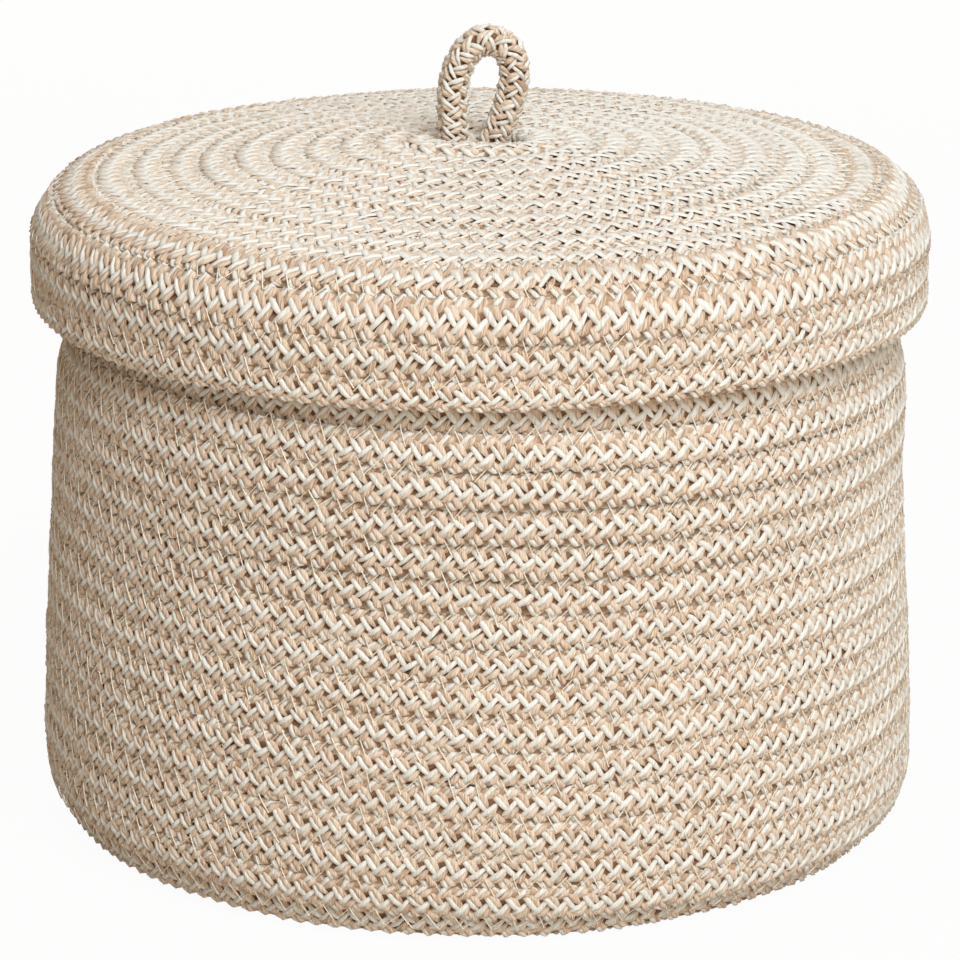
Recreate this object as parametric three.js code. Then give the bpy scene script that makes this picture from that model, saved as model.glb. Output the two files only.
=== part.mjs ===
import * as THREE from 'three';

// A lidded basket of braided rope, wound in turns that are sewn edge to edge.
// Millimetres, +Z up. The basket stands on z = 0 with its axis on Z.
// Seen from above, the rope of the body winds outwards and upwards clockwise, and the rope of the lid
// winds outwards and downwards anticlockwise, so that at the front the rows of both fall to the right.

// Rope and turns
const turnPitch = 9.0; // from one turn's middle to the next one's
const turnGap = 0.6; // left between the faces of neighbouring turns
const ropeSides = 5;
const stepsPerTurn = 16;
const innerStepsPerTurn = 8; // on the inner half of the base
const seatGap = 0.3; // between two ends of rope that meet, and between a piece and its seat

// Lid
const lidRadius = 115.6; // to the middle of the skirt's rope
const shoulderRadius = 13.0; // to the middle of the rope
const skirtDrop = 31.4; // from the middle of the top's rope to the middle of the lowest one
const lidEnd = 112.5; // degrees, where the skirt's rope ends
const lidSeat = 0.8; // from the rim up to the level of the top's underside where it meets the shoulder
const crownRise = 7.6; // of the top's middle above its edge
const crownRadius = 32; // of the nearly level middle
const crownDrop = 0.2; // at that radius
const slopeRadius = 68; // half-way out along the slope
const edgeSlope = 6.3; // degrees from level, from there out to the shoulder

// Body. Each inset is from the radius of the skirt's rope in to that of the body's rope
const footInset = 6.4;
const heelInset = 1.1; // of the first turn that stands on the base
const heelHeight = 11.3;
const bellyInset = 0.6;
const bellyHeight = 32.4;
const waistInset = 3.4;
const waistDrop = 82.2; // below the rim
const neckInset = 5.9;
const neckDrop = 44.2; // below the rim
const rimHeight = 162.6; // of the middle of the topmost rope
const rimClearance = 2.6; // between the rim's rope and the inside of the lid's skirt
const skirtClearance = 0.9; // between the wall and the skirt's lower edge
const bodyJoin = -22.5; // degrees, where the base ends and the wall starts

// Handle
const loopThickness = 8.9;
const loopHeight = 31.7; // above the lid's top
const loopBend = 8.35; // to the middle of the rope
const leftLeg = -6.7; // of its middle from the basket's axis
const rightLeg = 3.4; // the same under the lid, from where it leans outwards
const eyeTuck = 1.5; // how much tighter round the legs the lid's rope starts, as it opens at once
const loopSides = 8;
const loopSteps = 25;

// Sewing thread, lying in the groove between two turns
const threadRadius = 0.55;
const threadSides = 3;
const threadRise = 2.25; // from the middle of the turns out to the middle of the thread
const lidThreadTurns = 2; // how many turns in from the shoulder the lid's seam thread begins

// Section of the rope: a corner points out of the basket, and the flat opposite it points in

const fullTurn = Math.PI * 2;
const cornerAngle = fullTurn / ropeSides;
const halfWidth = (turnPitch - turnGap) / 2; // towards the neighbouring turns
const ropeRadius = halfWidth / Math.sin(cornerAngle);
const ropeFlat = ropeRadius * Math.cos(cornerAngle / 2);

function polygon(radius, sides) {
  return Array.from({ length: sides }, (_, i) => {
    const a = i * fullTurn / sides;
    return { out: radius * Math.cos(a), along: radius * Math.sin(a) };
  });
}

const ropeSection = polygon(ropeRadius, ropeSides);
const threadSection = polygon(-threadRadius, threadSides);

// Each ring of a coil lies in the half-plane through the basket's axis at its angle.
// A spot holds the radius r and height z of the rope's middle, and the tilt of its outward side from level.
function ringAt(angle, spot, section, rise) {
  const outR = Math.cos(spot.tilt);
  const outZ = Math.sin(spot.tilt);
  return section.map(({ out, along }) => {
    const r = spot.r + (out + rise) * outR - along * outZ;
    const z = spot.z + (out + rise) * outZ + along * outR;
    return new THREE.Vector3(r * Math.cos(angle), r * Math.sin(angle), z);
  });
}

function signedVolume(points, index) {
  let sum = 0;
  for (let i = 0; i < index.length; i += 3) {
    const [a, b, c] = [points[index[i]], points[index[i + 1]], points[index[i + 2]]];
    sum += a.dot(b.clone().cross(c)) / 6;
  }
  return sum;
}

// One unbroken tube through the rings, closed at both ends, with its faces pointing out.
function tube(rings) {
  const sides = rings[0].length;
  const points = rings.flat();
  const last = (rings.length - 1) * sides;
  const index = [];
  for (let start = 0; start < last; start += sides) {
    for (let j = 0; j < sides; j++) {
      const a = start + j;
      const b = start + (j + 1) % sides;
      index.push(a, b, a + sides);
      index.push(b, b + sides, a + sides);
    }
  }
  for (let j = 1; j < sides - 1; j++) {
    index.push(0, j + 1, j);
    index.push(last, last + j, last + j + 1);
  }
  if (signedVolume(points, index) < 0) {
    index.reverse();
  }
  const geometry = new THREE.BufferGeometry();
  geometry.setAttribute('position', new THREE.Float32BufferAttribute(points.flatMap((p) => p.toArray()), 3));
  geometry.setIndex(index);
  geometry.computeVertexNormals();
  return geometry;
}

function pointToEdge(p, a, b) {
  const edge = b.clone().sub(a);
  const t = THREE.MathUtils.clamp(p.clone().sub(a).dot(edge) / edge.lengthSq(), 0, 1);
  return p.distanceTo(a.clone().addScaledVector(edge, t));
}

function ringGap(ring, other) {
  let least = Infinity;
  for (const [from, to] of [[ring, other], [other, ring]]) {
    for (const p of from) {
      to.forEach((q, i) => {
        least = Math.min(least, pointToEdge(p, q, to[(i + 1) % to.length]));
      });
    }
  }
  return least;
}

// The least gap from a coil to itself one turn further on, at its rings and half-way between them.
function leastGap(rings, stops) {
  const ringOver = (turn) => {
    const next = Math.max(1, stops.findIndex((stop) => stop >= turn));
    const share = (turn - stops[next - 1]) / (stops[next] - stops[next - 1]);
    return rings[next].map((p, j) => rings[next - 1][j].clone().lerp(p, share));
  };
  let least = Infinity;
  const step = 1 / (2 * stepsPerTurn);
  for (let turn = stops[0]; turn + 1 <= stops[stops.length - 1]; turn += step) {
    least = Math.min(least, ringGap(ringOver(turn), ringOver(turn + 1)));
  }
  return least;
}

// Turn numbers from one to another, a step apart.
function stopsBetween(from, to, perTurn) {
  const count = Math.round((to - from) * perTurn);
  return Array.from({ length: count + 1 }, (_, i) => from + i / perTurn);
}

const wholeSteps = (turns) => Math.floor(turns * stepsPerTurn) / stepsPerTurn;

const bodyRope = new THREE.MeshStandardMaterial({ color: 0xd9c2a2, roughness: 0.95, metalness: 0 });
const lidRope = new THREE.MeshStandardMaterial({ color: 0xe2d3bb, roughness: 0.95, metalness: 0 });
const loopRope = new THREE.MeshStandardMaterial({ color: 0xd2b48f, roughness: 0.95, metalness: 0 });
const seamThread = new THREE.MeshStandardMaterial({ color: 0xf2ecdf, roughness: 0.8, metalness: 0 });

const group = new THREE.Group();

function add(name, geometry, material) {
  const mesh = new THREE.Mesh(geometry, material);
  mesh.name = name;
  group.add(mesh);
}

// A coil through the given stops. angleAt and place give its angle and its spot at a turn number.
function coil(name, { stops, section = ropeSection, rise = 0, angleAt, place, material }) {
  const rings = stops.map((turn) => {
    const angle = angleAt(turn);
    return ringAt(angle, place(turn, angle), section, rise);
  });
  add(name, tube(rings), material);
  const turns = stops[stops.length - 1] - stops[0];
  console.log(`${name}: ${turns.toFixed(2)} turns, least gap ${leastGap(rings, stops).toFixed(2)} mm`);
  return rings;
}

const upwards = Math.PI / 2;
const thread = { section: threadSection, rise: threadRise, material: seamThread };

// Base: a flat spiral from the middle outwards, lying on the flats of its rope.
// Turns are counted back from where the wall starts, so on the base they are negative.

const footRadius = lidRadius - footInset;
const joinAngle = THREE.MathUtils.degToRad(bodyJoin);
const bodyAngle = (turn) => joinAngle - turn * fullTurn;
const baseTurns = wholeSteps((footRadius - 3 * seatGap - halfWidth) / turnPitch);
const finerFrom = -Math.floor(baseTurns / 2);

coil('base_coil', {
  stops: [
    ...stopsBetween(finerFrom - Math.floor((baseTurns + finerFrom) * innerStepsPerTurn) / innerStepsPerTurn,
      finerFrom, innerStepsPerTurn).slice(0, -1),
    ...stopsBetween(finerFrom, 0, stepsPerTurn),
  ],
  angleAt: bodyAngle,
  place: (turn) => ({ r: footRadius - 2 * seatGap + turn * turnPitch, z: ropeFlat, tilt: upwards }),
  material: bodyRope,
});

// Wall: the rope climbs on its own base, bellies out low down and is drawn in where the lid goes over it

const skirtInside = lidRadius - ropeFlat;
const rimRadius = skirtInside - rimClearance - ropeRadius;
const lowestSkirtHeight = rimHeight + halfWidth + lidSeat + ropeFlat - skirtDrop;
const wallProfile = new THREE.SplineCurve([
  new THREE.Vector2(footRadius, halfWidth),
  new THREE.Vector2(lidRadius - heelInset, heelHeight),
  new THREE.Vector2(lidRadius - bellyInset, bellyHeight),
  new THREE.Vector2(lidRadius - waistInset, rimHeight - waistDrop),
  new THREE.Vector2(lidRadius - neckInset, rimHeight - neckDrop),
  new THREE.Vector2(skirtInside - skirtClearance - ropeRadius, lowestSkirtHeight - halfWidth),
  new THREE.Vector2(rimRadius, rimHeight),
]);
wallProfile.arcLengthDivisions = 2000;
const wallLength = wallProfile.getLength();
const wallTurns = wholeSteps(wallLength / turnPitch);

function wallSpot(turn) {
  const share = turn / wallTurns;
  const middle = wallProfile.getPointAt(share);
  const way = wallProfile.getTangentAt(share);
  const leaning = Math.min(1, turn); // the rope leaves the base upright
  return { r: middle.x, z: middle.y, tilt: Math.atan2(-way.x, way.y) * leaning };
}

const wallRings = coil('wall_coil', {
  stops: [seatGap / (fullTurn * footRadius), ...stopsBetween(0, wallTurns, stepsPerTurn).slice(1)],
  angleAt: bodyAngle,
  place: wallSpot,
  material: bodyRope,
});

coil('wall_seam_thread', {
  ...thread,
  stops: stopsBetween(0, wallTurns - 1, stepsPerTurn),
  angleAt: bodyAngle,
  place: (turn) => wallSpot(turn + 0.5),
});

// Lid: one rope from the eye outwards over the crowned top, round the shoulder and down the skirt.
// Turns are counted from the shoulder, so on the top they are negative.

const rimTop = Math.max(...wallRings.flat().map((p) => p.z));
const edgeHeight = rimTop + lidSeat + ropeFlat; // of the middle of the rope at the top of the shoulder
const crownHeight = edgeHeight + crownRise;
const lidTop = crownHeight + ropeRadius;
const lidUnderside = crownHeight - ropeFlat;
const slope = THREE.MathUtils.degToRad(edgeSlope);
const shoulderStart = upwards - slope;
const flatRadius = lidRadius - shoulderRadius * (1 - Math.sin(slope));

// The handle is a straight left leg, a half-round bend and a right leg that leans in to the eye.
const loopRadius = loopThickness / 2;
const bendMiddle = new THREE.Vector2(leftLeg + loopBend, lidTop + loopHeight - loopRadius - loopBend);
const rightFoot = new THREE.Vector2(rightLeg, lidUnderside);
const footToBend = bendMiddle.clone().sub(rightFoot);
const lean = Math.atan2(footToBend.x, footToBend.y) + Math.asin(loopBend / footToBend.length());
const leftReach = -leftLeg;
const rightReach = rightLeg + (crownHeight - lidUnderside) * Math.tan(lean);

// The eye clears both legs, so the first turn round it is long and narrow.
const eyeOffset = loopRadius / Math.cos(lean) + seatGap + halfWidth - eyeTuck;

function eyeRadius(angle) {
  const across = Math.abs(Math.sin(angle));
  const along = Math.abs(Math.cos(angle));
  const reach = Math.cos(angle) < 0 ? leftReach : rightReach;
  if (eyeOffset * along <= reach * across) {
    return eyeOffset / across;
  }
  return reach * along + Math.sqrt(eyeOffset ** 2 - (reach * across) ** 2);
}

const longestEye = leftReach + eyeOffset;
const topProfile = new THREE.SplineCurve([
  new THREE.Vector2(longestEye, crownHeight),
  new THREE.Vector2(crownRadius, crownHeight - crownDrop),
  new THREE.Vector2(slopeRadius, edgeHeight + (flatRadius - slopeRadius) * Math.tan(slope)),
  new THREE.Vector2(flatRadius, edgeHeight),
]);
topProfile.arcLengthDivisions = 2000;
const topTurns = wholeSteps(topProfile.getLength() / turnPitch);

function topSpot(turn, angle) {
  const share = 1 + turn / topTurns;
  const middle = topProfile.getPointAt(share);
  const way = topProfile.getTangentAt(share);
  const narrowing = (longestEye - eyeRadius(angle)) * (1 - share); // each turn further out is rounder
  return { r: middle.x - narrowing, z: middle.y, tilt: Math.atan2(way.x, -way.y) };
}

// The shoulder is an arc that takes up the slope of the top.
const shoulderLength = shoulderRadius * shoulderStart;
const shoulderHeight = edgeHeight - shoulderRadius * Math.cos(slope); // of the arc's own middle
const straightDrop = skirtDrop - shoulderRadius;
const skirtLength = shoulderLength + straightDrop;
const skirtTurns = wholeSteps(skirtLength / turnPitch);
const shoulderAngle = THREE.MathUtils.degToRad(lidEnd) - skirtTurns * fullTurn;
const lidAngle = (turn) => shoulderAngle + turn * fullTurn;

function skirtSpot(turn) {
  const length = turn * skirtLength / skirtTurns;
  const tilt = Math.max(0, shoulderStart - length / shoulderRadius);
  const straight = Math.max(0, length - shoulderLength);
  const r = lidRadius - shoulderRadius * (1 - Math.cos(tilt));
  return { r, z: shoulderHeight + shoulderRadius * Math.sin(tilt) - straight, tilt };
}

coil('lid_top_coil', {
  stops: stopsBetween(-topTurns, 0, stepsPerTurn),
  angleAt: lidAngle,
  place: topSpot,
  material: lidRope,
});

coil('lid_skirt_coil', {
  stops: [seatGap / (fullTurn * flatRadius), ...stopsBetween(0, skirtTurns, stepsPerTurn).slice(1)],
  angleAt: lidAngle,
  place: skirtSpot,
  material: lidRope,
});

coil('lid_seam_thread', {
  ...thread,
  stops: stopsBetween(-lidThreadTurns, skirtTurns - 1, stepsPerTurn),
  angleAt: lidAngle,
  place: (turn, angle) => (turn + 0.5 < 0 ? topSpot(turn + 0.5, angle) : skirtSpot(turn + 0.5)),
});

const loopPath = new THREE.Path();
loopPath.moveTo(leftLeg, lidUnderside);
loopPath.lineTo(leftLeg, bendMiddle.y);
loopPath.absarc(bendMiddle.x, bendMiddle.y, loopBend, Math.PI, -lean, true);
loopPath.lineTo(rightFoot.x, rightFoot.y);

// The legs end level with the lid's underside.
function loopRing(share) {
  const middle = loopPath.getPointAt(share);
  const way = loopPath.getTangentAt(share);
  if (share === 1) {
    way.set(0, -1);
  }
  return polygon(loopRadius, loopSides).map(({ out, along }) => (
    new THREE.Vector3(middle.x + out * way.y, along, middle.y - out * way.x)));
}

add('handle_loop', tube(stopsBetween(0, 1, loopSteps).map(loopRing)), loopRope);

export default group;
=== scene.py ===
import math

import bmesh
import bpy
import numpy as np
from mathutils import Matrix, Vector


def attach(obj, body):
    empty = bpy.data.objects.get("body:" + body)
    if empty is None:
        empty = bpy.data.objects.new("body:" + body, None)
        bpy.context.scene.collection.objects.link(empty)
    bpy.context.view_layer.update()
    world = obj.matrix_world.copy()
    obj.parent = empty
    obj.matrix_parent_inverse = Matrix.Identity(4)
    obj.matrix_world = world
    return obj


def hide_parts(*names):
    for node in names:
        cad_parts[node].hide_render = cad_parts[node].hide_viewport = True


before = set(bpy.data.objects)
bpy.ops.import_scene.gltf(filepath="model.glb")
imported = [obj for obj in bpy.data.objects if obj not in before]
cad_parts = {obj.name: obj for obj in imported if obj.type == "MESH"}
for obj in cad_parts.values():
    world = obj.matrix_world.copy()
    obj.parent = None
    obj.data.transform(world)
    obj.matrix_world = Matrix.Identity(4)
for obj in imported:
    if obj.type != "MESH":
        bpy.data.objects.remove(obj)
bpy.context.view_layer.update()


# Studio
# A plain white table under soft lamps, seen slightly from above.
# The main lamp stands high in front and to the right, so the left side of the basket is in its own shade.

def colour(red, green, blue):
    """An sRGB colour of 0 to 255 as Blender's linear RGBA."""
    def linear(value):
        value /= 255
        return value / 12.92 if value <= 0.04045 else ((value + 0.055) / 1.055) ** 2.4
    return (linear(red), linear(green), linear(blue), 1.0)


def new_material(name):
    """A material with its nodes, its links and its Principled BSDF."""
    material = bpy.data.materials.new(name)
    material.use_nodes = True
    nodes = material.node_tree.nodes
    return material, nodes, material.node_tree.links, nodes["Principled BSDF"]


def feed(links, socket, value):
    """Joins a socket to another node's output, or sets it to a constant."""
    if isinstance(value, bpy.types.NodeSocket):
        links.new(value, socket)
    else:
        socket.default_value = value


def math_node(nodes, links, operation, *values):
    """The output of a math node that works on the values."""
    node = nodes.new("ShaderNodeMath")
    node.operation = operation
    for socket, value in zip(node.inputs, values):
        feed(links, socket, value)
    return node.outputs[0]


scene = bpy.context.scene
scene.view_settings.view_transform = "Standard"

camera_distance = 1.2168
camera_elevation = math.radians(17.08)
aim_height = 0.0834
camera = bpy.data.objects.new("camera", bpy.data.cameras.new("camera"))
scene.collection.objects.link(camera)
camera.location = (
    0,
    -camera_distance * math.cos(camera_elevation),
    aim_height + camera_distance * math.sin(camera_elevation),
)
camera.rotation_euler = (math.pi / 2 - camera_elevation, 0, 0)
camera.data.sensor_width = 36
camera.data.lens = 166.49
camera.data.shift_x = 0.0024
camera.data.shift_y = 0.0187
camera.data.clip_end = 20
scene.camera = camera

# The sky lights from above only and is a little warm. The camera sees a white backdrop in its place
world = bpy.data.worlds.new("studio")
scene.world = world
world.use_nodes = True
nodes, links = world.node_tree.nodes, world.node_tree.links
sky = nodes["Background"]
sky.inputs["Color"].default_value = (1.0, 0.81, 0.62, 1)
direction = nodes.new("ShaderNodeTexCoord")
axes = nodes.new("ShaderNodeSeparateXYZ")
height = nodes.new("ShaderNodeMapRange")
height.inputs["To Max"].default_value = 0.58
backdrop = nodes.new("ShaderNodeBackground")
backdrop.inputs["Color"].default_value = (1, 1, 1, 1)
backdrop.inputs["Strength"].default_value = 1.0
rays = nodes.new("ShaderNodeLightPath")
seen = nodes.new("ShaderNodeMixShader")
links.new(direction.outputs["Generated"], axes.inputs[0])
links.new(axes.outputs["Z"], height.inputs["Value"])
links.new(height.outputs[0], sky.inputs["Strength"])
links.new(rays.outputs["Is Camera Ray"], seen.inputs["Fac"])
links.new(sky.outputs[0], seen.inputs[1])
links.new(backdrop.outputs[0], seen.inputs[2])
links.new(seen.outputs[0], nodes["World Output"].inputs["Surface"])

lamp_aim = (0, 0, 0.08)


def lamp(name, place, size, power, tint):
    """A round soft lamp that faces the middle of the basket."""
    light = bpy.data.lights.new(name, "AREA")
    light.shape = "DISK"
    light.size = size
    light.energy = power
    light.color = tint
    stand = bpy.data.objects.new(name, light)
    scene.collection.objects.link(stand)
    stand.location = place
    stand.rotation_euler = (Vector(place) - Vector(lamp_aim)).to_track_quat("Z", "Y").to_euler()


lamp("key_lamp", (0.487, -1.176, 1.46), size=1.3, power=34.0, tint=(0.83, 0.91, 1.0))
lamp("front_lamp", (0.459, -1.712, 0.393), size=1.2, power=9.8, tint=(1.0, 0.92, 0.83))
lamp("back_lamp", (0.08, 1.74, 0.5), size=1.2, power=15.0, tint=(1.0, 0.97, 0.93))

# To the camera the table is nearly as white as the backdrop, and only a faint shadow shows on it
table_glow = 0.96
floor = bpy.data.objects.new("floor", bpy.data.meshes.new("floor"))
scene.collection.objects.link(floor)
bm = bmesh.new()
bmesh.ops.create_grid(bm, x_segments=1, y_segments=1, size=4.0)
bm.to_mesh(floor.data)
bm.free()
material, nodes, links, paint = new_material("white_table")
paint.inputs["Base Color"].default_value = colour(206, 198, 188)
paint.inputs["Roughness"].default_value = 0.9
glow = nodes.new("ShaderNodeEmission")
glow.inputs["Color"].default_value = (1, 1, 1, 1)
glow.inputs["Strength"].default_value = 1.0
path = nodes.new("ShaderNodeLightPath")
blend = nodes.new("ShaderNodeMixShader")
glow_share = math_node(nodes, links, "MULTIPLY", path.outputs["Is Camera Ray"], table_glow)
links.new(glow_share, blend.inputs["Fac"])
links.new(paint.outputs[0], blend.inputs[1])
links.new(glow.outputs[0], blend.inputs[2])
links.new(blend.outputs[0], nodes["Material Output"].inputs["Surface"])
floor.data.materials.append(material)


# Yarns of the rope
# Each strand of the braid is a smooth cream cord laid beside a thicker, hairy beige yarn.
# Both are matt cotton, so they shade softly and show fine fibres along their length.

lots_apart = 97.0  # between the noise of one float and that of another


def yarn_fibre_group():
    """Fine fibres that run along a yarn with a slight twist, and a bump from them.
    It also puts out each float's own tone and the painted shading of each place: painted shade on the yarns,
    painted light on the core's sides."""
    group = bpy.data.node_groups.new("yarn_fibres", "ShaderNodeTree")
    face = group.interface
    for name, value in (
            ("Fibres Across", 6.0), ("Stretch", 0.2), ("Twist", 0.4), ("Relief", 0.4), ("Depth", 0.0002)):
        face.new_socket(name, in_out="INPUT", socket_type="NodeSocketFloat").default_value = value
    for name in ("Fibres", "Tone", "Painted Shading"):
        face.new_socket(name, in_out="OUTPUT", socket_type="NodeSocketFloat")
    face.new_socket("Normal", in_out="OUTPUT", socket_type="NodeSocketVector")
    nodes, links = group.nodes, group.links
    inside = nodes.new("NodeGroupInput")
    outside = nodes.new("NodeGroupOutput")
    uv = nodes.new("ShaderNodeUVMap")
    uv.uv_map = "yarn"
    lot = nodes.new("ShaderNodeAttribute")
    lot.attribute_name = "float_lot"
    painted_shading = nodes.new("ShaderNodeAttribute")
    painted_shading.attribute_name = "painted_shading"
    parts = nodes.new("ShaderNodeSeparateXYZ")
    links.new(uv.outputs["UV"], parts.inputs[0])
    along, across = parts.outputs["X"], parts.outputs["Y"]
    skewed = math_node(nodes, links, "MULTIPLY_ADD", along, inside.outputs["Twist"], across)
    place = nodes.new("ShaderNodeCombineXYZ")
    for axis, first, second in (
            ("X", along, inside.outputs["Stretch"]),
            ("Y", skewed, inside.outputs["Fibres Across"]),
            ("Z", lot.outputs["Fac"], lots_apart)):
        feed(links, place.inputs[axis], math_node(nodes, links, "MULTIPLY", first, second))
    noise = nodes.new("ShaderNodeTexNoise")
    noise.inputs["Scale"].default_value = 1.0
    noise.inputs["Detail"].default_value = 2.0
    noise.inputs["Roughness"].default_value = 0.6
    bump = nodes.new("ShaderNodeBump")
    links.new(place.outputs[0], noise.inputs["Vector"])
    links.new(noise.outputs["Fac"], bump.inputs["Height"])
    links.new(inside.outputs["Relief"], bump.inputs["Strength"])
    links.new(inside.outputs["Depth"], bump.inputs["Distance"])
    links.new(noise.outputs["Fac"], outside.inputs["Fibres"])
    links.new(lot.outputs["Fac"], outside.inputs["Tone"])
    links.new(painted_shading.outputs["Fac"], outside.inputs["Painted Shading"])
    links.new(bump.outputs[0], outside.inputs["Normal"])
    return group


yarn_fibres = yarn_fibre_group()


def colour_mix(nodes, links, share, first, second):
    """The output of a mix node of two colours. Its sockets for colours are told by their place."""
    mix = nodes.new("ShaderNodeMix")
    mix.data_type = "RGBA"
    for place, value in ((0, share), (6, first), (7, second)):
        feed(links, mix.inputs[place], value)
    return mix.outputs[2]


def yarn_material(name, dark, light, pale, painted_shading_colour, fibres_across, stretch, twist, relief, roughness, sheen):
    """Fibres run from dark to light, pale floats lean to pale, and the painted shading leans to the last
    colour, which is painted shade on the yarns and painted light on the core's sides.
    """
    material, nodes, links, surface = new_material(name)
    fibres = nodes.new("ShaderNodeGroup")
    fibres.node_tree = yarn_fibres
    fibres.inputs["Fibres Across"].default_value = fibres_across
    fibres.inputs["Stretch"].default_value = stretch
    fibres.inputs["Twist"].default_value = twist
    fibres.inputs["Relief"].default_value = relief
    ramp = nodes.new("ShaderNodeValToRGB")
    ramp.color_ramp.elements[0].position = 0.36
    ramp.color_ramp.elements[0].color = dark
    ramp.color_ramp.elements[1].position = 0.6
    ramp.color_ramp.elements[1].color = light
    paleness = nodes.new("ShaderNodeMapRange")
    paleness.inputs["To Max"].default_value = 0.75
    links.new(fibres.outputs["Fibres"], ramp.inputs["Fac"])
    links.new(fibres.outputs["Tone"], paleness.inputs["Value"])
    yarn = colour_mix(nodes, links, paleness.outputs[0], ramp.outputs["Color"], pale)
    yarn = colour_mix(nodes, links, fibres.outputs["Painted Shading"], yarn, painted_shading_colour)
    links.new(yarn, surface.inputs["Base Color"])
    links.new(fibres.outputs["Normal"], surface.inputs["Normal"])
    surface.inputs["Roughness"].default_value = roughness
    surface.inputs["Specular IOR Level"].default_value = 0.2
    surface.inputs["Sheen Weight"].default_value = sheen
    surface.inputs["Sheen Roughness"].default_value = 0.5
    surface.inputs["Sheen Tint"].default_value = (1.0, 0.97, 0.92, 1)
    return material


# The last colour of each yarn is painted shade, for where it dives into the braid and at the rope's sides next
# to the turns beside it
cream_yarn = yarn_material(
    "cream_yarn", colour(202, 194, 179), colour(227, 225, 216), colour(236, 234, 227), colour(196, 168, 138),
    fibres_across=2.8, stretch=0.3, twist=0.6, relief=0.5, roughness=0.8, sheen=0.1)
beige_yarn = yarn_material(
    "beige_yarn", colour(163, 130, 101), colour(224, 202, 177), colour(234, 221, 203), colour(166, 130, 100),
    fibres_across=3.6, stretch=0.35, twist=0.45, relief=0.9, roughness=0.9, sheen=0.15)
# The core's dark brown is painted shade for the holes between floats, and its last, paler colour is painted
# light on its sides, which show in the grooves between turns
rope_core_painted_shading = yarn_material(
    "rope_core_painted_shading", colour(90, 58, 35), colour(134, 94, 62), colour(134, 94, 62), colour(200, 171, 143),
    fibres_across=2.0, stretch=0.5, twist=0.5, relief=0.8, roughness=0.95, sheen=0.0)


# Braided rope
# Ten strands are braided round a core, each of a cream and a beige yarn side by side.
# Where a strand passes over another it shows as a float, and between the floats the core shows through,
# coloured dark brown as painted shade for those holes.

turn_pitch = 9.0  # millimetres, as all lengths of the ropes here
braid_period = 4.86
roll = math.radians(17)  # of the first column of floats from straight out
mean_radius = 3.3  # to the middle of the braid's two layers
layer_half = 0.55
float_reach = 0.9  # of the way to the next crossing
pair_width = 3.06
braid_skew = 0.12  # the strands of one hand lie flatter than those of the other

# rise lifts one yarn above the other, pull draws its ends to the strand's middle and taper narrows them
cream_float = {
    "material": 0, "side": 1, "width": 1.56, "thickness": 1.2, "rise": 0.14, "pull": 0.0, "taper": 0.4}
beige_float = {
    "material": 1, "side": -1, "width": 1.96, "thickness": 1.15, "rise": 0.0, "pull": 0.9, "taper": 1.5}
narrowest = 0.15  # of a float's width, at its ends
wrap = math.radians(112)  # how far round its yarn a float's skin reaches to each side
core_radius = 2.8
core_sides = 12
core_flatness = 2.6  # how fast the core's face flattens as the core gets wider than it is thick


def add_float(bm, uv, number, lot, column, columns, period, yarn, grid):
    """One float of one yarn: a strip that rises out of the braid, passes over it and dives in again."""
    lean = 1 if column % 2 == 0 else -1
    column_step = math.tau / columns
    x_middle = period / 2 * (column % 2)
    top_radius = mean_radius + layer_half
    step_along, step_round = period / 2, top_radius * column_step
    crossing = math.hypot(step_along, step_round)
    cos_a, sin_a = step_along / crossing, step_round / crossing
    half_width = yarn["width"] / 2
    offset = (pair_width - yarn["width"]) / 2 * yarn["side"]
    reach = float_reach * crossing
    made = bmesh.ops.create_grid(bm, x_segments=grid[0], y_segments=grid[1], size=1.0)
    for vert in made["verts"]:
        a, b = vert.co.x, vert.co.y * lean
        s = a * reach
        across = offset * (1 - yarn["pull"] * a * a)
        across += half_width * math.sin(b * wrap) * max(1 - yarn["taper"] * a * a, narrowest)
        height = yarn["thickness"] / 2 * math.cos(b * wrap)
        radius = mean_radius + layer_half * math.cos(math.pi * s / crossing) + height + yarn["rise"]
        x = x_middle + s * cos_a + across * sin_a
        phi = roll + column * column_step + lean * (s * sin_a - across * cos_a) / top_radius
        vert.co = (x, radius * math.cos(phi), radius * math.sin(phi))
        vert[number] = lot
        for loop in vert.link_loops:
            loop[uv].uv = (s, b * half_width)
    for face in {face for vert in made["verts"] for face in vert.link_faces}:
        face.material_index = yarn["material"]
        face.smooth = True


def braid_unit(name, grids, period=braid_period, core_width=3.35, yarns=(cream_float, beige_float)):
    """One period of the braid round its core, with a column of floats for each pair of grids.
    Every second column slants the other way. Cream floats have odd numbers and the core has 0."""
    mesh = bpy.data.meshes.new(name)
    bm = bmesh.new()
    uv = bm.loops.layers.uv.new("yarn")
    number = bm.verts.layers.int.new("float_number")
    lot = 0
    for column, pair in enumerate(grids):
        for yarn, grid in zip(yarns, pair):
            lot += 1
            add_float(bm, uv, number, lot, column, len(grids), period, yarn, grid)
    core = bmesh.ops.create_cone(
        bm, cap_ends=False, segments=core_sides, radius1=1.0, radius2=1.0, depth=period)
    fullness = core_width / core_radius
    for vert in core["verts"]:
        face_share = min(max(vert.co.x * fullness ** core_flatness, -1), 1)
        side_share = min(max(vert.co.y * fullness, -1), 1)
        vert.co = (vert.co.z + period / 2, core_radius * face_share, core_width * side_share)
        for loop in vert.link_loops:
            loop[uv].uv = (vert.co.x, vert.co.z)
    for face in {face for vert in core["verts"] for face in vert.link_faces}:
        face.material_index = 2
        face.smooth = True
        if face.calc_center_median().dot(face.normal) < 0:
            face.normal_flip()
    bm.to_mesh(mesh)
    bm.free()
    for material in (cream_yarn, beige_yarn, rope_core_painted_shading):
        mesh.materials.append(material)
    return mesh


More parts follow.
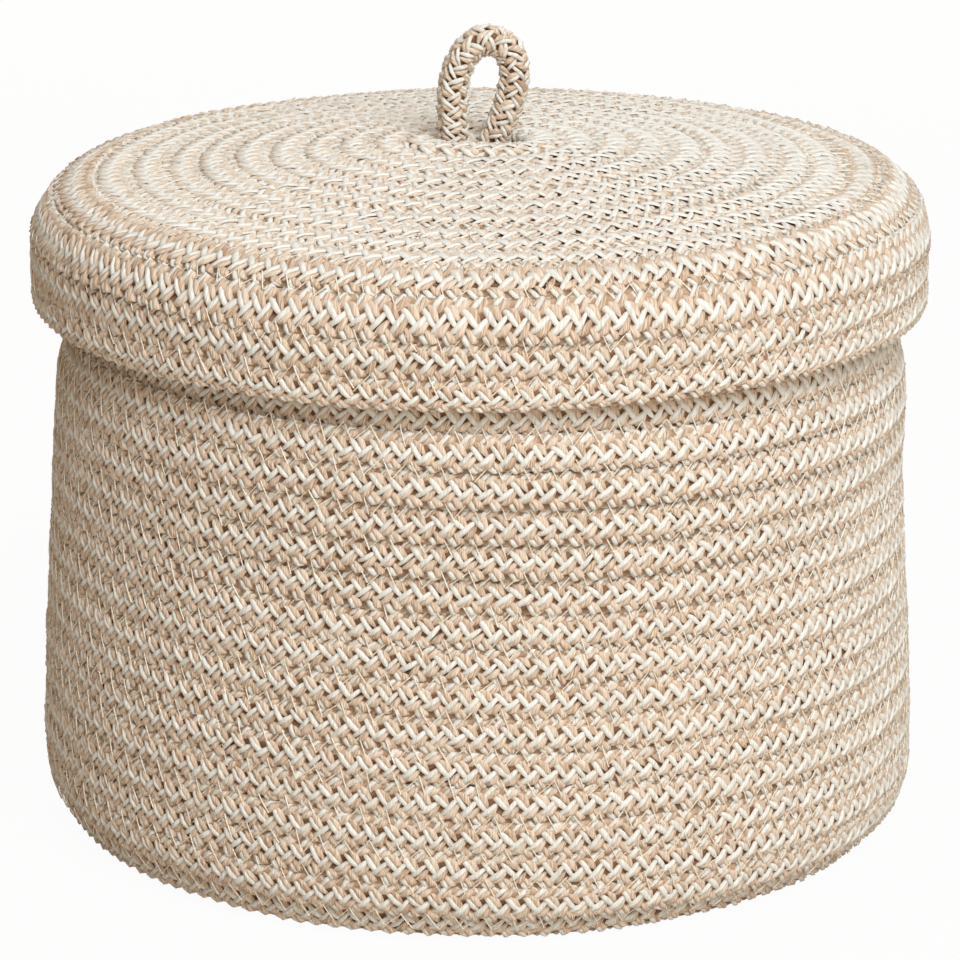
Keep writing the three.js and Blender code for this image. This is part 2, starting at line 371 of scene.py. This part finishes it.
# How fine a column's cream and beige floats are.
# Columns follow each other from the one that faces out, towards the next turn and round
fine = ((4, 3), (4, 4))
plain = ((3, 2), (3, 2))
rough = ((2, 2), (2, 2))
outer_unit = braid_unit("outer_unit", [fine, fine, plain, plain, plain, plain, plain, plain, fine, fine])
plain_unit = braid_unit("plain_unit", [plain, plain, rough, plain, plain, plain, plain, rough, plain, plain])

way_steps = 360  # to a turn


def rope_way(angle_at, place, first, last):
    """The distance along a rope, its middle, and its outward and sideways directions, at steps of turn."""
    turns = np.linspace(first, last, int(abs(last - first) * way_steps) + 2)
    angle = angle_at(turns)
    r, z, tilt = place(turns, angle)
    middle = np.stack([r * np.cos(angle), r * np.sin(angle), z], 1)
    way = np.gradient(middle, axis=0)
    way /= np.linalg.norm(way, axis=1)[:, None]
    out = np.stack([np.cos(tilt) * np.cos(angle), np.cos(tilt) * np.sin(angle), np.sin(tilt)], 1)
    out -= (out * way).sum(1)[:, None] * way
    out /= np.linalg.norm(out, axis=1)[:, None]
    steps = np.linalg.norm(np.diff(middle, axis=0), axis=1)
    distance = np.concatenate([[0], np.cumsum(steps)])
    return distance, middle, out, np.cross(way, out)


drift_waves = 6
drift_spread = (0.6, 1.6)  # of the waves about the wavelength


def drift(distance, seed, wavelength, amount):
    """A smooth wander along the rope."""
    rng = np.random.default_rng(seed)
    waves = rng.uniform(*drift_spread, drift_waves) / wavelength
    phases = rng.uniform(0, math.tau, drift_waves)
    total = sum(np.sin(math.tau * w * distance + p) for w, p in zip(waves, phases))
    return amount * total / math.sqrt(drift_waves)


def repeated(name, unit, count, period):
    """A mesh of count units in a row along x."""
    straight = bpy.data.objects.new(name + "_straight", unit)
    scene.collection.objects.link(straight)
    row = straight.modifiers.new("row", "ARRAY")
    row.count = count
    row.use_relative_offset = False
    row.use_constant_offset = True
    row.constant_offset_displace = (period, 0, 0)
    bpy.context.view_layer.update()
    mesh = bpy.data.meshes.new_from_object(straight.evaluated_get(bpy.context.evaluated_depsgraph_get()))
    bpy.data.objects.remove(straight)
    mesh.name = name
    return mesh


def give_values(mesh, name, values):
    """Stores one value for each vertex, for the materials to read."""
    attribute = mesh.attributes.new(name, "FLOAT", "POINT")
    attribute.data.foreach_set("value", values.astype(np.float32).ravel())


# What sets one float apart from the next: a usual slip, in millimetres or radians, and its limit
slip_along, slip_out, slip_round = 0.16, 0.08, 0.04
usual_slant = 0.09
usual_spread = 0.07  # a share of the float's size
widest_slip = 2.2  # times the usual one

thickness_drift = 0.012  # a share of the rope's thickness
side_wander = 0.6  # of the rope's wander in and out
full_shade_depth = 1.2  # below the floats' tops, at which a yarn's painted shade is full
side_from, side_over = 0.82, 0.16  # the sine at which painted shade begins on a rope's side, and over how much
core_side_from, core_side_over = 1.5, 1.5  # millimetres across, where the core goes over to its sides, which are painted paler as painted light in the grooves between turns
face_from = 2.4  # from the rope's middle out, beyond which a pressed face is flattened
press_shift = 2  # by which a rope is moved out as it is pressed, so that its face stays where it was
free_fade = 60  # over which the free turn's rounder side ends


def wind(name, unit, way, start, count, seed, period=braid_period, squareness=6.0, opened=0.27,
         inner_flat=0.92, pressed=1.0, broad=1.15, wander=0.2, twist=0.12, wedge=None, free_turn=None,
         ends=(0.0, 0.0), cream_lift=0.0, tones=(0.0, 0.6), side_shade=0.12, depth_shade=0.85):
    """Repeats the unit count times from a distance along the way and bends the row along the way.

    The rope's section is pressed square and made broad across the rows. opened turns the floats at its
    sides towards its outer face, and inner_flat and pressed flatten its inner and outer faces. wander and
    twist say how far it strays. wedge gives the slope of its sides, free_turn the length and roundness of
    a first turn whose lower side is free, and ends the lengths over which its two ends are drawn closed,
    or 0. tones is the range of the floats' tones. side_shade and depth_shade scale the painted shade on its
    sides and where its yarns dive into the braid, and the core's sides get painted light.
    """
    distance, middle, out, side = way
    mesh = repeated(name, unit, count, period)
    co = np.empty(len(mesh.vertices) * 3, np.float32)
    mesh.vertices.foreach_get("co", co)
    co = co.reshape(count, -1, 3).astype(float)
    number = np.empty(len(mesh.vertices), np.int32)
    mesh.attributes["float_number"].data.foreach_get("value", number)
    number = number.reshape(count, -1)[0]
    floats = number.max() + 1
    rng = np.random.default_rng(seed)
    core = number == 0

    def each(usual):
        values = rng.normal(0, usual, (count, floats))
        values = np.clip(values, -widest_slip * usual, widest_slip * usual)[:, number]
        values[:, core] = 0
        return values

    first_phi = np.arctan2(co[0, :, 2], co[0, :, 1])
    centre_x, centre_phi = np.zeros(floats), np.zeros(floats)
    for index in np.unique(number):
        own = number == index
        centre_x[index] = co[0, own, 0].mean()
        centre_phi[index] = np.angle(np.exp(1j * first_phi[own]).mean())
    round_centre = np.angle(np.exp(1j * (first_phi - centre_phi[number]))) * mean_radius
    along_centre = co[..., 0] - centre_x[number] - np.arange(count)[:, None] * period
    slant, spread = each(usual_slant), each(usual_spread)
    x = co[..., 0] + start + each(slip_along) + slant * round_centre
    x += spread * along_centre
    radius = np.hypot(co[..., 1], co[..., 2])
    # Painted shade where a yarn dives below the floats' tops and on the rope's sides next to the turns beside
    # it
    painted_shading = np.clip((mean_radius + layer_half - radius) / full_shade_depth, 0, 1) + side_shade * np.clip(
        (np.abs(np.sin(first_phi)) - side_from) / side_over, 0, 1)
    painted_shading *= depth_shade
    radius = radius + each(slip_out) + cream_lift * (number % 2)
    phi = first_phi + each(slip_round) + spread * round_centre / mean_radius
    phi -= slant * along_centre / mean_radius
    phi = phi + drift(x, seed + 500, wavelength=700, amount=twist)
    phi -= np.where(core, 0, opened) * np.sin(phi) ** 3
    x -= braid_skew * radius * np.sin(phi)
    radius *= 1 + drift(x, seed + 600, wavelength=60, amount=thickness_drift)
    across, beside = np.cos(phi), np.sin(phi)
    radius *= (np.abs(across) ** squareness + np.abs(beside) ** squareness) ** (-1 / squareness)
    y = radius * across
    face = np.where(y > face_from, face_from + (y - face_from) * pressed, y)
    y = np.where(y < 0, y * inner_flat, face) + press_shift * (1 - pressed)
    y += drift(x, seed + 700, wavelength=110, amount=wander)
    z = radius * beside * broad
    for drawn, left in zip(ends, (x - start, start + count * period - x)):
        if drawn:
            full = np.sqrt(1 - (1 - np.clip(left / drawn, 0.0, 1.0)) ** 2)
            y, z = y * full, z * full
    if free_turn:
        length, roundness = free_turn
        z *= 1 - np.where(z < 0, roundness, 0) * np.clip((length - x) / free_fade, 0, 1)
    if wedge:
        z *= 1 + y * wedge(x)
    z += drift(x, seed + 800, wavelength=90, amount=wander * side_wander)
    x = x.ravel()
    place = [np.interp(x, distance, middle[:, i]) + y.ravel() * np.interp(x, distance, out[:, i])
             + z.ravel() * np.interp(x, distance, side[:, i]) for i in range(3)]
    mesh.vertices.foreach_set("co", (np.stack(place, 1) * 0.001).astype(np.float32).ravel())
    give_values(mesh, "float_lot", rng.uniform(*tones, (count, floats))[:, number])
    # The core is painted paler towards its sides, as painted light in the grooves between turns
    core_side = (np.abs(co[..., 2]) - core_side_from) / core_side_over
    give_values(mesh, "painted_shading", np.clip(np.where(core, core_side, painted_shading), 0, 1))
    mesh.attributes.remove(mesh.attributes["float_number"])
    mesh.update()
    piece = bpy.data.objects.new(name, mesh)
    scene.collection.objects.link(piece)
    return piece


# Base
# The bottom is the first dozen turns of the body's one rope, wound flat from the middle outwards.
# The turns lie side by side and are sewn edge to edge.

body_join = math.radians(-22.5)  # where the base ends and the wall begins
foot_radius = 109.2
foot_gap = 0.6  # from the base's end in from the wall's first turn
base_height = 4.2
base_turns = 11.5
base_tuck = 0.02  # of a turn, by which its end runs on inside the start of the wall
inner_share = 0.55  # of the base's length, in the first of its two pieces
end_length = 12.0  # over which a rope's end is drawn closed


def body_angle(turn):
    return body_join - turn * math.tau


def base_place(turn, angle):
    return (foot_radius - foot_gap + turn * turn_pitch, np.full_like(turn, base_height),
            np.full_like(turn, math.pi / 2))


base_way = rope_way(body_angle, base_place, -base_turns, base_tuck)
base_count = int(base_way[0][-1] / braid_period)
half_way = int(base_count * inner_share)
for name, first, last in (("base_rope_inner", 0, half_way), ("base_rope_outer", half_way, base_count)):
    base_rope = wind(
        name, plain_unit, base_way, first * braid_period, last - first, seed=11 + first, wander=0.1,
        ends=(end_length * (first == 0), end_length * (last == base_count)))
    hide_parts("base_coil")
    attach(base_rope, "basket")


# Wall
# The same rope turns up at the edge of the base and climbs in a helix to the rim.
# The wall bellies out low down and is drawn in a little where the lid slips over it.

def spline(points, divisions=4000):
    """A smooth curve through the points, as distances along it and places."""
    points = np.array(points, float)
    last = len(points) - 1
    t = np.linspace(0, last, divisions + 1)
    whole = np.minimum(t.astype(int), last - 1)
    w = (t - whole)[:, None]
    p0, p1 = points[np.maximum(whole - 1, 0)], points[whole]
    p2, p3 = points[whole + 1], points[np.minimum(whole + 2, last)]
    v0, v1 = (p2 - p0) / 2, (p3 - p1) / 2
    curve = (2 * p1 - 2 * p2 + v0 + v1) * w ** 3 + (-3 * p1 + 3 * p2 - 2 * v0 - v1) * w ** 2 + v0 * w + p1
    gone = np.concatenate([[0], np.cumsum(np.linalg.norm(np.diff(curve, axis=0), axis=1))])
    return gone, curve


def on_profile(profile, at):
    """The radius and height at a distance along a profile, and how fast each of them grows there."""
    gone, curve = profile
    r, z = curve[:, 0], curve[:, 1]
    return (np.interp(at, gone, r), np.interp(at, gone, z),
            np.interp(at, gone, np.gradient(r, gone)), np.interp(at, gone, np.gradient(z, gone)))


wall_profile = spline([
    (109.2, 4.3), (114.5, 11.3), (115.0, 32.4), (112.2, 80.4), (109.7, 118.4), (106.7, 135.6), (105.0, 162.6)])
wall_turns = 17.875
wall_pieces = 6
row_sag = 1.4
sag_turns = 3  # over which the sag sets in and ends
row_lean = -0.0125
level_turns = 2  # at the foot, over which the lean sets in
settled_turn = 12  # from which it goes over into the rim's
rim_lean = 0.0055
rim_lean_ease = 30  # to each side of the middle, where the rim's lean sets in
right_swell_size = 2.0
right_swell_shape = ((100, 118, 150, 180), (0, 1, 1, 0.7))  # heights, and its share at each
front_swell_size = 5.2
front_swell_shape = ((90, 108, 118, 127, 135, 141), (0, 0.45, 0.75, 1, 1, 0))
swell_lift = 0.3  # of the rows for each millimetre that they stand out
foot_turn = (690, 0.2)  # the length and roundness of the turn that stands on the table


def lid_lean(x):
    """The lid and the rim below it stand a little higher on the right."""
    return rim_lean * (x + np.sqrt(x * x + rim_lean_ease ** 2))


def right_swell(angle, height):
    """The basket isn't quite round: its right-hand side stands further out round the neck and the lid."""
    return right_swell_size * np.clip(np.cos(angle), 0, 1) ** 2 * np.interp(height, *right_swell_shape)


def front_swell(angle, height):
    """In front the wall fills out just below the skirt."""
    return front_swell_size * np.clip(-np.sin(angle), 0, 1) ** 2 * np.interp(height, *front_swell_shape)


def wall_place(turn, angle):
    sag = row_sag * np.clip(np.minimum(turn, wall_turns - turn) / sag_turns, 0, 1)
    r, z, slope_r, slope_z = on_profile(wall_profile, turn / wall_turns * wall_profile[0][-1] - sag)
    x = r * np.cos(angle)
    z = z + row_lean * x * np.interp(turn, (0, level_turns, settled_turn, wall_turns), (0, 1, 1, 0))
    z = z + lid_lean(x) * np.interp(turn, (settled_turn, wall_turns), (0, 1))
    swell = front_swell(angle, z)
    return (r + right_swell(angle, z) + swell, z + swell_lift * swell,
            np.arctan2(-slope_r, slope_z) * np.clip(turn, 0, 1))


wall_way = rope_way(body_angle, wall_place, 0, wall_turns)
wall_count = int(wall_way[0][-1] / braid_period)
for part in range(wall_pieces):
    first, last = (wall_count * i // wall_pieces for i in (part, part + 1))
    wall_rope = wind(
        f"wall_rope_{part + 1}", outer_unit, wall_way, first * braid_period, last - first, seed=21 + part,
        free_turn=foot_turn, ends=(0.0, end_length * (part == wall_pieces - 1)))
    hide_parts("wall_coil")
    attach(wall_rope, "basket")


# Seams
# A sewing machine runs over the groove between two turns and joins them with a zigzag of thin cream thread.
# The legs that slant down to the right are the steeper ones and lie on top of the others.

thread_radius = 0.19
stitch_length = 6.6
stitch_half_height = 2.0
stitch_rise = 4.1  # out from the middle of the turns
down_share = 0.4  # of the stitch's length, taken by its leg down
end_dip = 0.55  # by which each leg's ends go into the rope
under_dip = 0.3  # by which the leg up lies under the other
sewing_thread = yarn_material(
    "sewing_thread", colour(214, 196, 166), colour(248, 240, 224), colour(252, 247, 236), colour(236, 224, 202),
    fibres_across=2.5, stretch=1.5, twist=1.0, relief=0.5, roughness=0.6, sheen=0.0)


def long_edges(verts):
    """The lengthwise edges of a new cone, whose depth is 2."""
    edges = dict.fromkeys(edge for vert in verts for edge in vert.link_edges)
    return [edge for edge in edges if abs(edge.verts[0].co.z - edge.verts[1].co.z) > 1]


def stitch_unit(name):
    """One leg down and one leg up of the zigzag, each a thin four-sided thread."""
    mesh = bpy.data.meshes.new(name)
    bm = bmesh.new()
    uv = bm.loops.layers.uv.new("yarn")
    number = bm.verts.layers.int.new("float_number")
    corners = ((0.0, 1.0), (down_share * stitch_length, -1.0), (stitch_length, 1.0))
    for lot, ((x0, h0), (x1, h1)) in enumerate(zip(corners, corners[1:])):
        made = bmesh.ops.create_cone(
            bm, cap_ends=False, segments=4, radius1=thread_radius, radius2=thread_radius, depth=2.0)
        bmesh.ops.subdivide_edges(bm, edges=long_edges(made["verts"]), cuts=2)
        for vert in [vert for vert in bm.verts if not vert[number]]:
            t = (vert.co.z + 1) / 2
            dip = end_dip * (2 * t - 1) ** 4
            vert[number] = lot + 1
            for loop in vert.link_loops:
                loop[uv].uv = (t * stitch_length, vert.co.x + vert.co.y)
            vert.co = (
                -(x0 + (x1 - x0) * t) + vert.co.x,
                stitch_rise - dip - under_dip * lot + vert.co.y,
                (h0 + (h1 - h0) * t) * stitch_half_height)
    for face in bm.faces:
        face.smooth = True
    bmesh.ops.recalc_face_normals(bm, faces=bm.faces[:])
    bm.to_mesh(mesh)
    bm.free()
    mesh.materials.append(sewing_thread)
    return mesh


seam_unit = stitch_unit("seam_unit")


def sew(name, way, seed):
    """A seam along the way, which keeps a stitch's length from its two ends."""
    stitches = int(way[0][-1] / stitch_length) - 1
    return wind(name, seam_unit, way, stitch_length, stitches, seed, period=stitch_length)


def wall_seam_place(turn, angle):
    return wall_place(turn + 0.5, angle)


wall_seam = sew("wall_seam", rope_way(body_angle, wall_seam_place, 0, wall_turns - 1), seed=41)
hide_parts("wall_seam_thread")
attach(wall_seam, "basket")


# Lid
# A second rope winds out from the eye round the handle, bends over the shoulder and ends as a short skirt.
# The skirt laps over the rim, and the lid rests there by its own weight.

lid_radius = 115.6
shoulder_radius = 13.0
skirt_drop = 31.4
skirt_turns = 4.125
top_turns = 10.0
edge_height = 171.25
crown_height = 178.85
crown_drop = 0.2
crown_radius = 32
slope_radius = 68
edge_slope = math.radians(6.3)
shoulder_start = math.pi / 2 - edge_slope
flat_radius = lid_radius - shoulder_radius * (1 - math.sin(edge_slope))
shoulder_length = shoulder_radius * shoulder_start
skirt_length = shoulder_length + skirt_drop - shoulder_radius
bend_turns = shoulder_length / skirt_length * skirt_turns
shoulder_angle = math.radians(67.5)  # where the top ends and the shoulder begins
eye_offset = 6.9  # of the first turn's middle, in front of the legs and behind them
left_reach = 5.6  # of the eye's round ends from the lid's middle
right_reach = 3.6
longest_eye = left_reach + eye_offset
front_rise = 1.6  # of the first turn where it passes in front of the handle
front_turn, front_stretch = 0.56, 0.28  # where that is, in turns from the eye, and over how much
lid_swell_share = 0.5  # of the wall's swell on the right
skirt_lean = 0.009
wedge_before, wedge_after = 0.6, 0.2  # turns outside the bend and inside it, over which the wedge sets in
skirt_edge_turn = (730, 0.28)  # the length and roundness of the skirt's lowest turn
eye_end_length = 5.0  # over which the end at the eye is drawn closed


def lid_angle(turn):
    return shoulder_angle + turn * math.tau


def eye_radius(angle):
    """The distance from the lid's middle to the edge of an eye with two straight sides and round ends."""
    across, along = np.abs(np.sin(angle)), np.abs(np.cos(angle))
    reach = np.where(np.cos(angle) < 0, left_reach, right_reach)
    straight = eye_offset / np.maximum(across, 1e-6)
    round_end = reach * along + np.sqrt(np.maximum(eye_offset ** 2 - (reach * across) ** 2, 0))
    return np.where(eye_offset * along <= reach * across, straight, round_end)


top_profile = spline([
    (longest_eye, crown_height),
    (crown_radius, crown_height - crown_drop),
    (slope_radius, edge_height + (flat_radius - slope_radius) * math.tan(edge_slope)),
    (flat_radius, edge_height)])


def lid_place(turn, angle):
    """Turns are counted from the shoulder, so on the top they are negative."""
    share = 1 + np.clip(turn, None, 0) / top_turns
    top_r, top_z, slope_r, slope_z = on_profile(top_profile, share * top_profile[0][-1])
    top_r = top_r - (longest_eye - eye_radius(angle)) * (1 - share)
    top_z = top_z + front_rise * np.exp(-((turn + top_turns - front_turn) / front_stretch) ** 2)
    length = np.clip(turn, 0, None) * skirt_length / skirt_turns
    bend = np.clip(shoulder_start - length / shoulder_radius, 0, None)
    straight = np.clip(length - shoulder_length, 0, None)
    r = lid_radius - shoulder_radius * (1 - np.cos(bend))
    z = edge_height + shoulder_radius * (np.sin(bend) - math.cos(edge_slope)) - straight
    on_top = turn < 0
    r, z = np.where(on_top, top_r, r), np.where(on_top, top_z, z)
    r = r + lid_swell_share * right_swell(angle, z) * (np.clip(r, 0, lid_radius) / lid_radius) ** 4
    z = z + skirt_lean * r * np.cos(angle) * np.clip(turn / skirt_turns, 0, 1)
    return (r, z + lid_lean(r * np.cos(angle)),
            np.where(on_top, np.arctan2(slope_r, -slope_z), bend))


lid_way = rope_way(lid_angle, lid_place, skirt_turns, -top_turns)
lid_count = int(lid_way[0][-1] / braid_period)


def lid_wedge(distance):
    """Over the shoulder the rope is pressed into a wedge, so that its outer face meets the next turn's."""
    turn = np.interp(distance, lid_way[0], np.linspace(skirt_turns, -top_turns, len(lid_way[0])))
    bounds = (-wedge_before, wedge_after, bend_turns - wedge_after, bend_turns + wedge_before)
    return np.interp(turn, bounds, (0, 1, 1, 0)) / shoulder_radius


# On the lid's top the floats' tones are raised to paler ones as painted light from above, and its painted shade
# is weaker
top_press_and_painted_light = {
    "squareness": 7.0, "opened": 0.2, "broad": 1.2, "pressed": 0.6, "twist": 0.25, "tones": (0.5, 0.95),
    "cream_lift": 0.4, "depth_shade": 0.35, "side_shade": 0.2}
lid_parts = (
    ("lid_rope_skirt_1", 0, 330, "lid_skirt_coil", {}),
    ("lid_rope_skirt_2", 330, 640, "lid_skirt_coil", {}),
    ("lid_rope_top_1", 640, 1000, "lid_top_coil", top_press_and_painted_light),
    ("lid_rope_top_2", 1000, lid_count, "lid_top_coil", top_press_and_painted_light),
)
for index, (name, first, last, node, press) in enumerate(lid_parts):
    lid_rope = wind(
        name, outer_unit, lid_way, first * braid_period, last - first, seed=61 + index, wedge=lid_wedge,
        free_turn=skirt_edge_turn,
        ends=(end_length * (first == 0), eye_end_length * (last == lid_count)), **press)
    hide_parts(node)
    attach(lid_rope, "lid")

lid_seam_reach = 2.2  # turns in from the shoulder


def lid_seam_place(turn, angle):
    return lid_place(turn - 0.5, angle)


lid_seam = sew("lid_seam", rope_way(lid_angle, lid_seam_place, skirt_turns, -lid_seam_reach), seed=71)
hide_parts("lid_seam_thread")
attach(lid_seam, "lid")


# Handle
# A short piece of braided rope is bent into an upright loop.
# Both its legs go down through the eye in the middle of the lid and are sewn fast there.

leg_foot = 175.28
loop_gone, loop_path = spline([
    (-6.7, leg_foot), (-6.7, 190), (-6.5, 198.5), (-4.2, 205.6), (-0.5, 209.6), (3.0, 210.5), (6.6, 209.2),
    (9.0, 206), (9.7, 201.3), (8.9, 196), (7.7, 192), (6.0, 187.5), (4.5, 183.3), (3.4, leg_foot)])
loop_middle = np.stack([loop_path[:, 0], np.zeros(len(loop_path)), loop_path[:, 1]], 1)
loop_forward = np.gradient(loop_middle, axis=0)
loop_forward /= np.linalg.norm(loop_forward, axis=1)[:, None]
loop_out = np.tile([0.0, -1.0, 0.0], (len(loop_path), 1))
loop_period = 4.04
loop_unit = braid_unit(
    "loop_unit", [fine] * 8, loop_period, core_radius,
    yarns=(dict(cream_float, width=1.35), dict(beige_float, width=1.85)))
handle = wind(
    "handle_rope", loop_unit, (loop_gone, loop_middle, loop_out, np.cross(loop_forward, loop_out)), 0,
    int(loop_gone[-1] / loop_period), seed=81, period=loop_period, squareness=2.0, opened=0.0, inner_flat=1.0,
    broad=1.0, wander=0.15, side_shade=0.0)
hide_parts("handle_loop")
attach(handle, "lid")


# Eye
# The legs stand in the eye of the lid, which is stuffed round them with the ends of the rope's own yarns.
# The longer ends bow out over the stuffing and go back into it.

eye_middle = (-1.3, 0.0, 178.6)
eye_half = (10.5, 6.5, 4.4)
stuffing_spread = 1.35  # of the mound past the eye, under the first turn
# The mound between the legs gets a fixed share of painted shade
stuffing_tone, stuffing_painted_shade = 0.3, 0.25
yarn_end_count = 84
start_height = (0.35, 0.9)  # on the mound, as a share of its height
swerve = (0.9, 2.2)  # radians from straight out
narrowing = 0.7  # of the ends' reach towards the front and back, where the eye is narrow
end_reach = (3.0, 5.5)
end_drop = 1.0
bow = (0.9, 1.6)
half_thickness = (0.45, 0.65)
end_taper = 0.6


def add_yarn_end(bm, layers, bend, length, thick, tone, material_index):
    """A tapered end of yarn. It leaves the mound at the bend's first point and dives in again at its last."""
    uv, lot, painted_shading = layers
    start, top, end = bend
    made = bmesh.ops.create_cone(
        bm, cap_ends=True, segments=6, radius1=thick, radius2=thick * end_taper, depth=2.0)
    bmesh.ops.subdivide_edges(bm, edges=long_edges(made["verts"]), cuts=5)
    forward = (end - start) / np.linalg.norm(end - start)
    beside = np.cross(forward, (0, 0, 1.0))
    beside /= np.linalg.norm(beside)
    over = np.cross(beside, forward)
    verts = [vert for vert in bm.verts if vert[lot] == 0]
    for vert in verts:
        t = (vert.co.z + 1) / 2
        for loop in vert.link_loops:
            loop[uv].uv = (t * length, vert.co.x + vert.co.y)
        point = start * (1 - t) ** 2 + 2 * top * t * (1 - t) + end * t ** 2
        vert[lot], vert[painted_shading] = tone, 0.0
        vert.co = point + beside * vert.co.x + over * vert.co.y
    for face in {face for vert in verts for face in vert.link_faces}:
        face.material_index = material_index


mesh = bpy.data.meshes.new("eye_stuffing")
bm = bmesh.new()
uv = bm.loops.layers.uv.new("yarn")
lot = bm.verts.layers.float.new("float_lot")
painted_shading = bm.verts.layers.float.new("painted_shading")
mound_half = (eye_half[0] * stuffing_spread, eye_half[1] * stuffing_spread, eye_half[2])
mound = bmesh.ops.create_uvsphere(bm, u_segments=40, v_segments=20, radius=1.0)
for vert in mound["verts"]:
    vert[lot], vert[painted_shading] = stuffing_tone, stuffing_painted_shade
    for loop in vert.link_loops:
        loop[uv].uv = (vert.co.x * eye_half[0], (vert.co.y + vert.co.z) * eye_half[1])
    vert.co = [middle + half * share for middle, half, share in zip(eye_middle, mound_half, vert.co)]
for face in bm.faces:
    face.material_index = 1
rng = np.random.default_rng(91)
for index in range(yarn_end_count):
    bearing = rng.uniform(0, math.tau)
    height = rng.uniform(*start_height)
    ring = math.sqrt(1 - height ** 2)
    start = np.array([
        eye_middle[0] + eye_half[0] * ring * math.cos(bearing), eye_half[1] * ring * math.sin(bearing),
        eye_middle[2] + eye_half[2] * height])
    heading = bearing + rng.uniform(*swerve) * rng.choice((-1, 1))
    length = rng.uniform(*end_reach)
    level = length * np.array([math.cos(heading), narrowing * math.sin(heading), 0])
    end = start + level - np.array([0, 0, end_drop])
    top = (start + end) / 2 + np.array([0, 0, rng.uniform(*bow)])
    thick = rng.uniform(*half_thickness)
    tone = 0.01 + 0.98 * rng.uniform()  # never 0, which marks a new vertex
    add_yarn_end(bm, (uv, lot, painted_shading), (start, top, end), length, thick, tone, index % 2)
for face in bm.faces:
    face.smooth = True
bmesh.ops.recalc_face_normals(bm, faces=bm.faces[:])
bmesh.ops.scale(bm, vec=(0.001, 0.001, 0.001), verts=bm.verts[:])
bm.to_mesh(mesh)
bm.free()
mesh.materials.append(cream_yarn)
mesh.materials.append(beige_yarn)
eye_stuffing = bpy.data.objects.new("eye_stuffing", mesh)
scene.collection.objects.link(eye_stuffing)
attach(eye_stuffing, "lid")


# The units have been repeated and are no pieces themselves
for unit in (outer_unit, plain_unit, seam_unit, loop_unit):
    bpy.data.meshes.remove(unit)
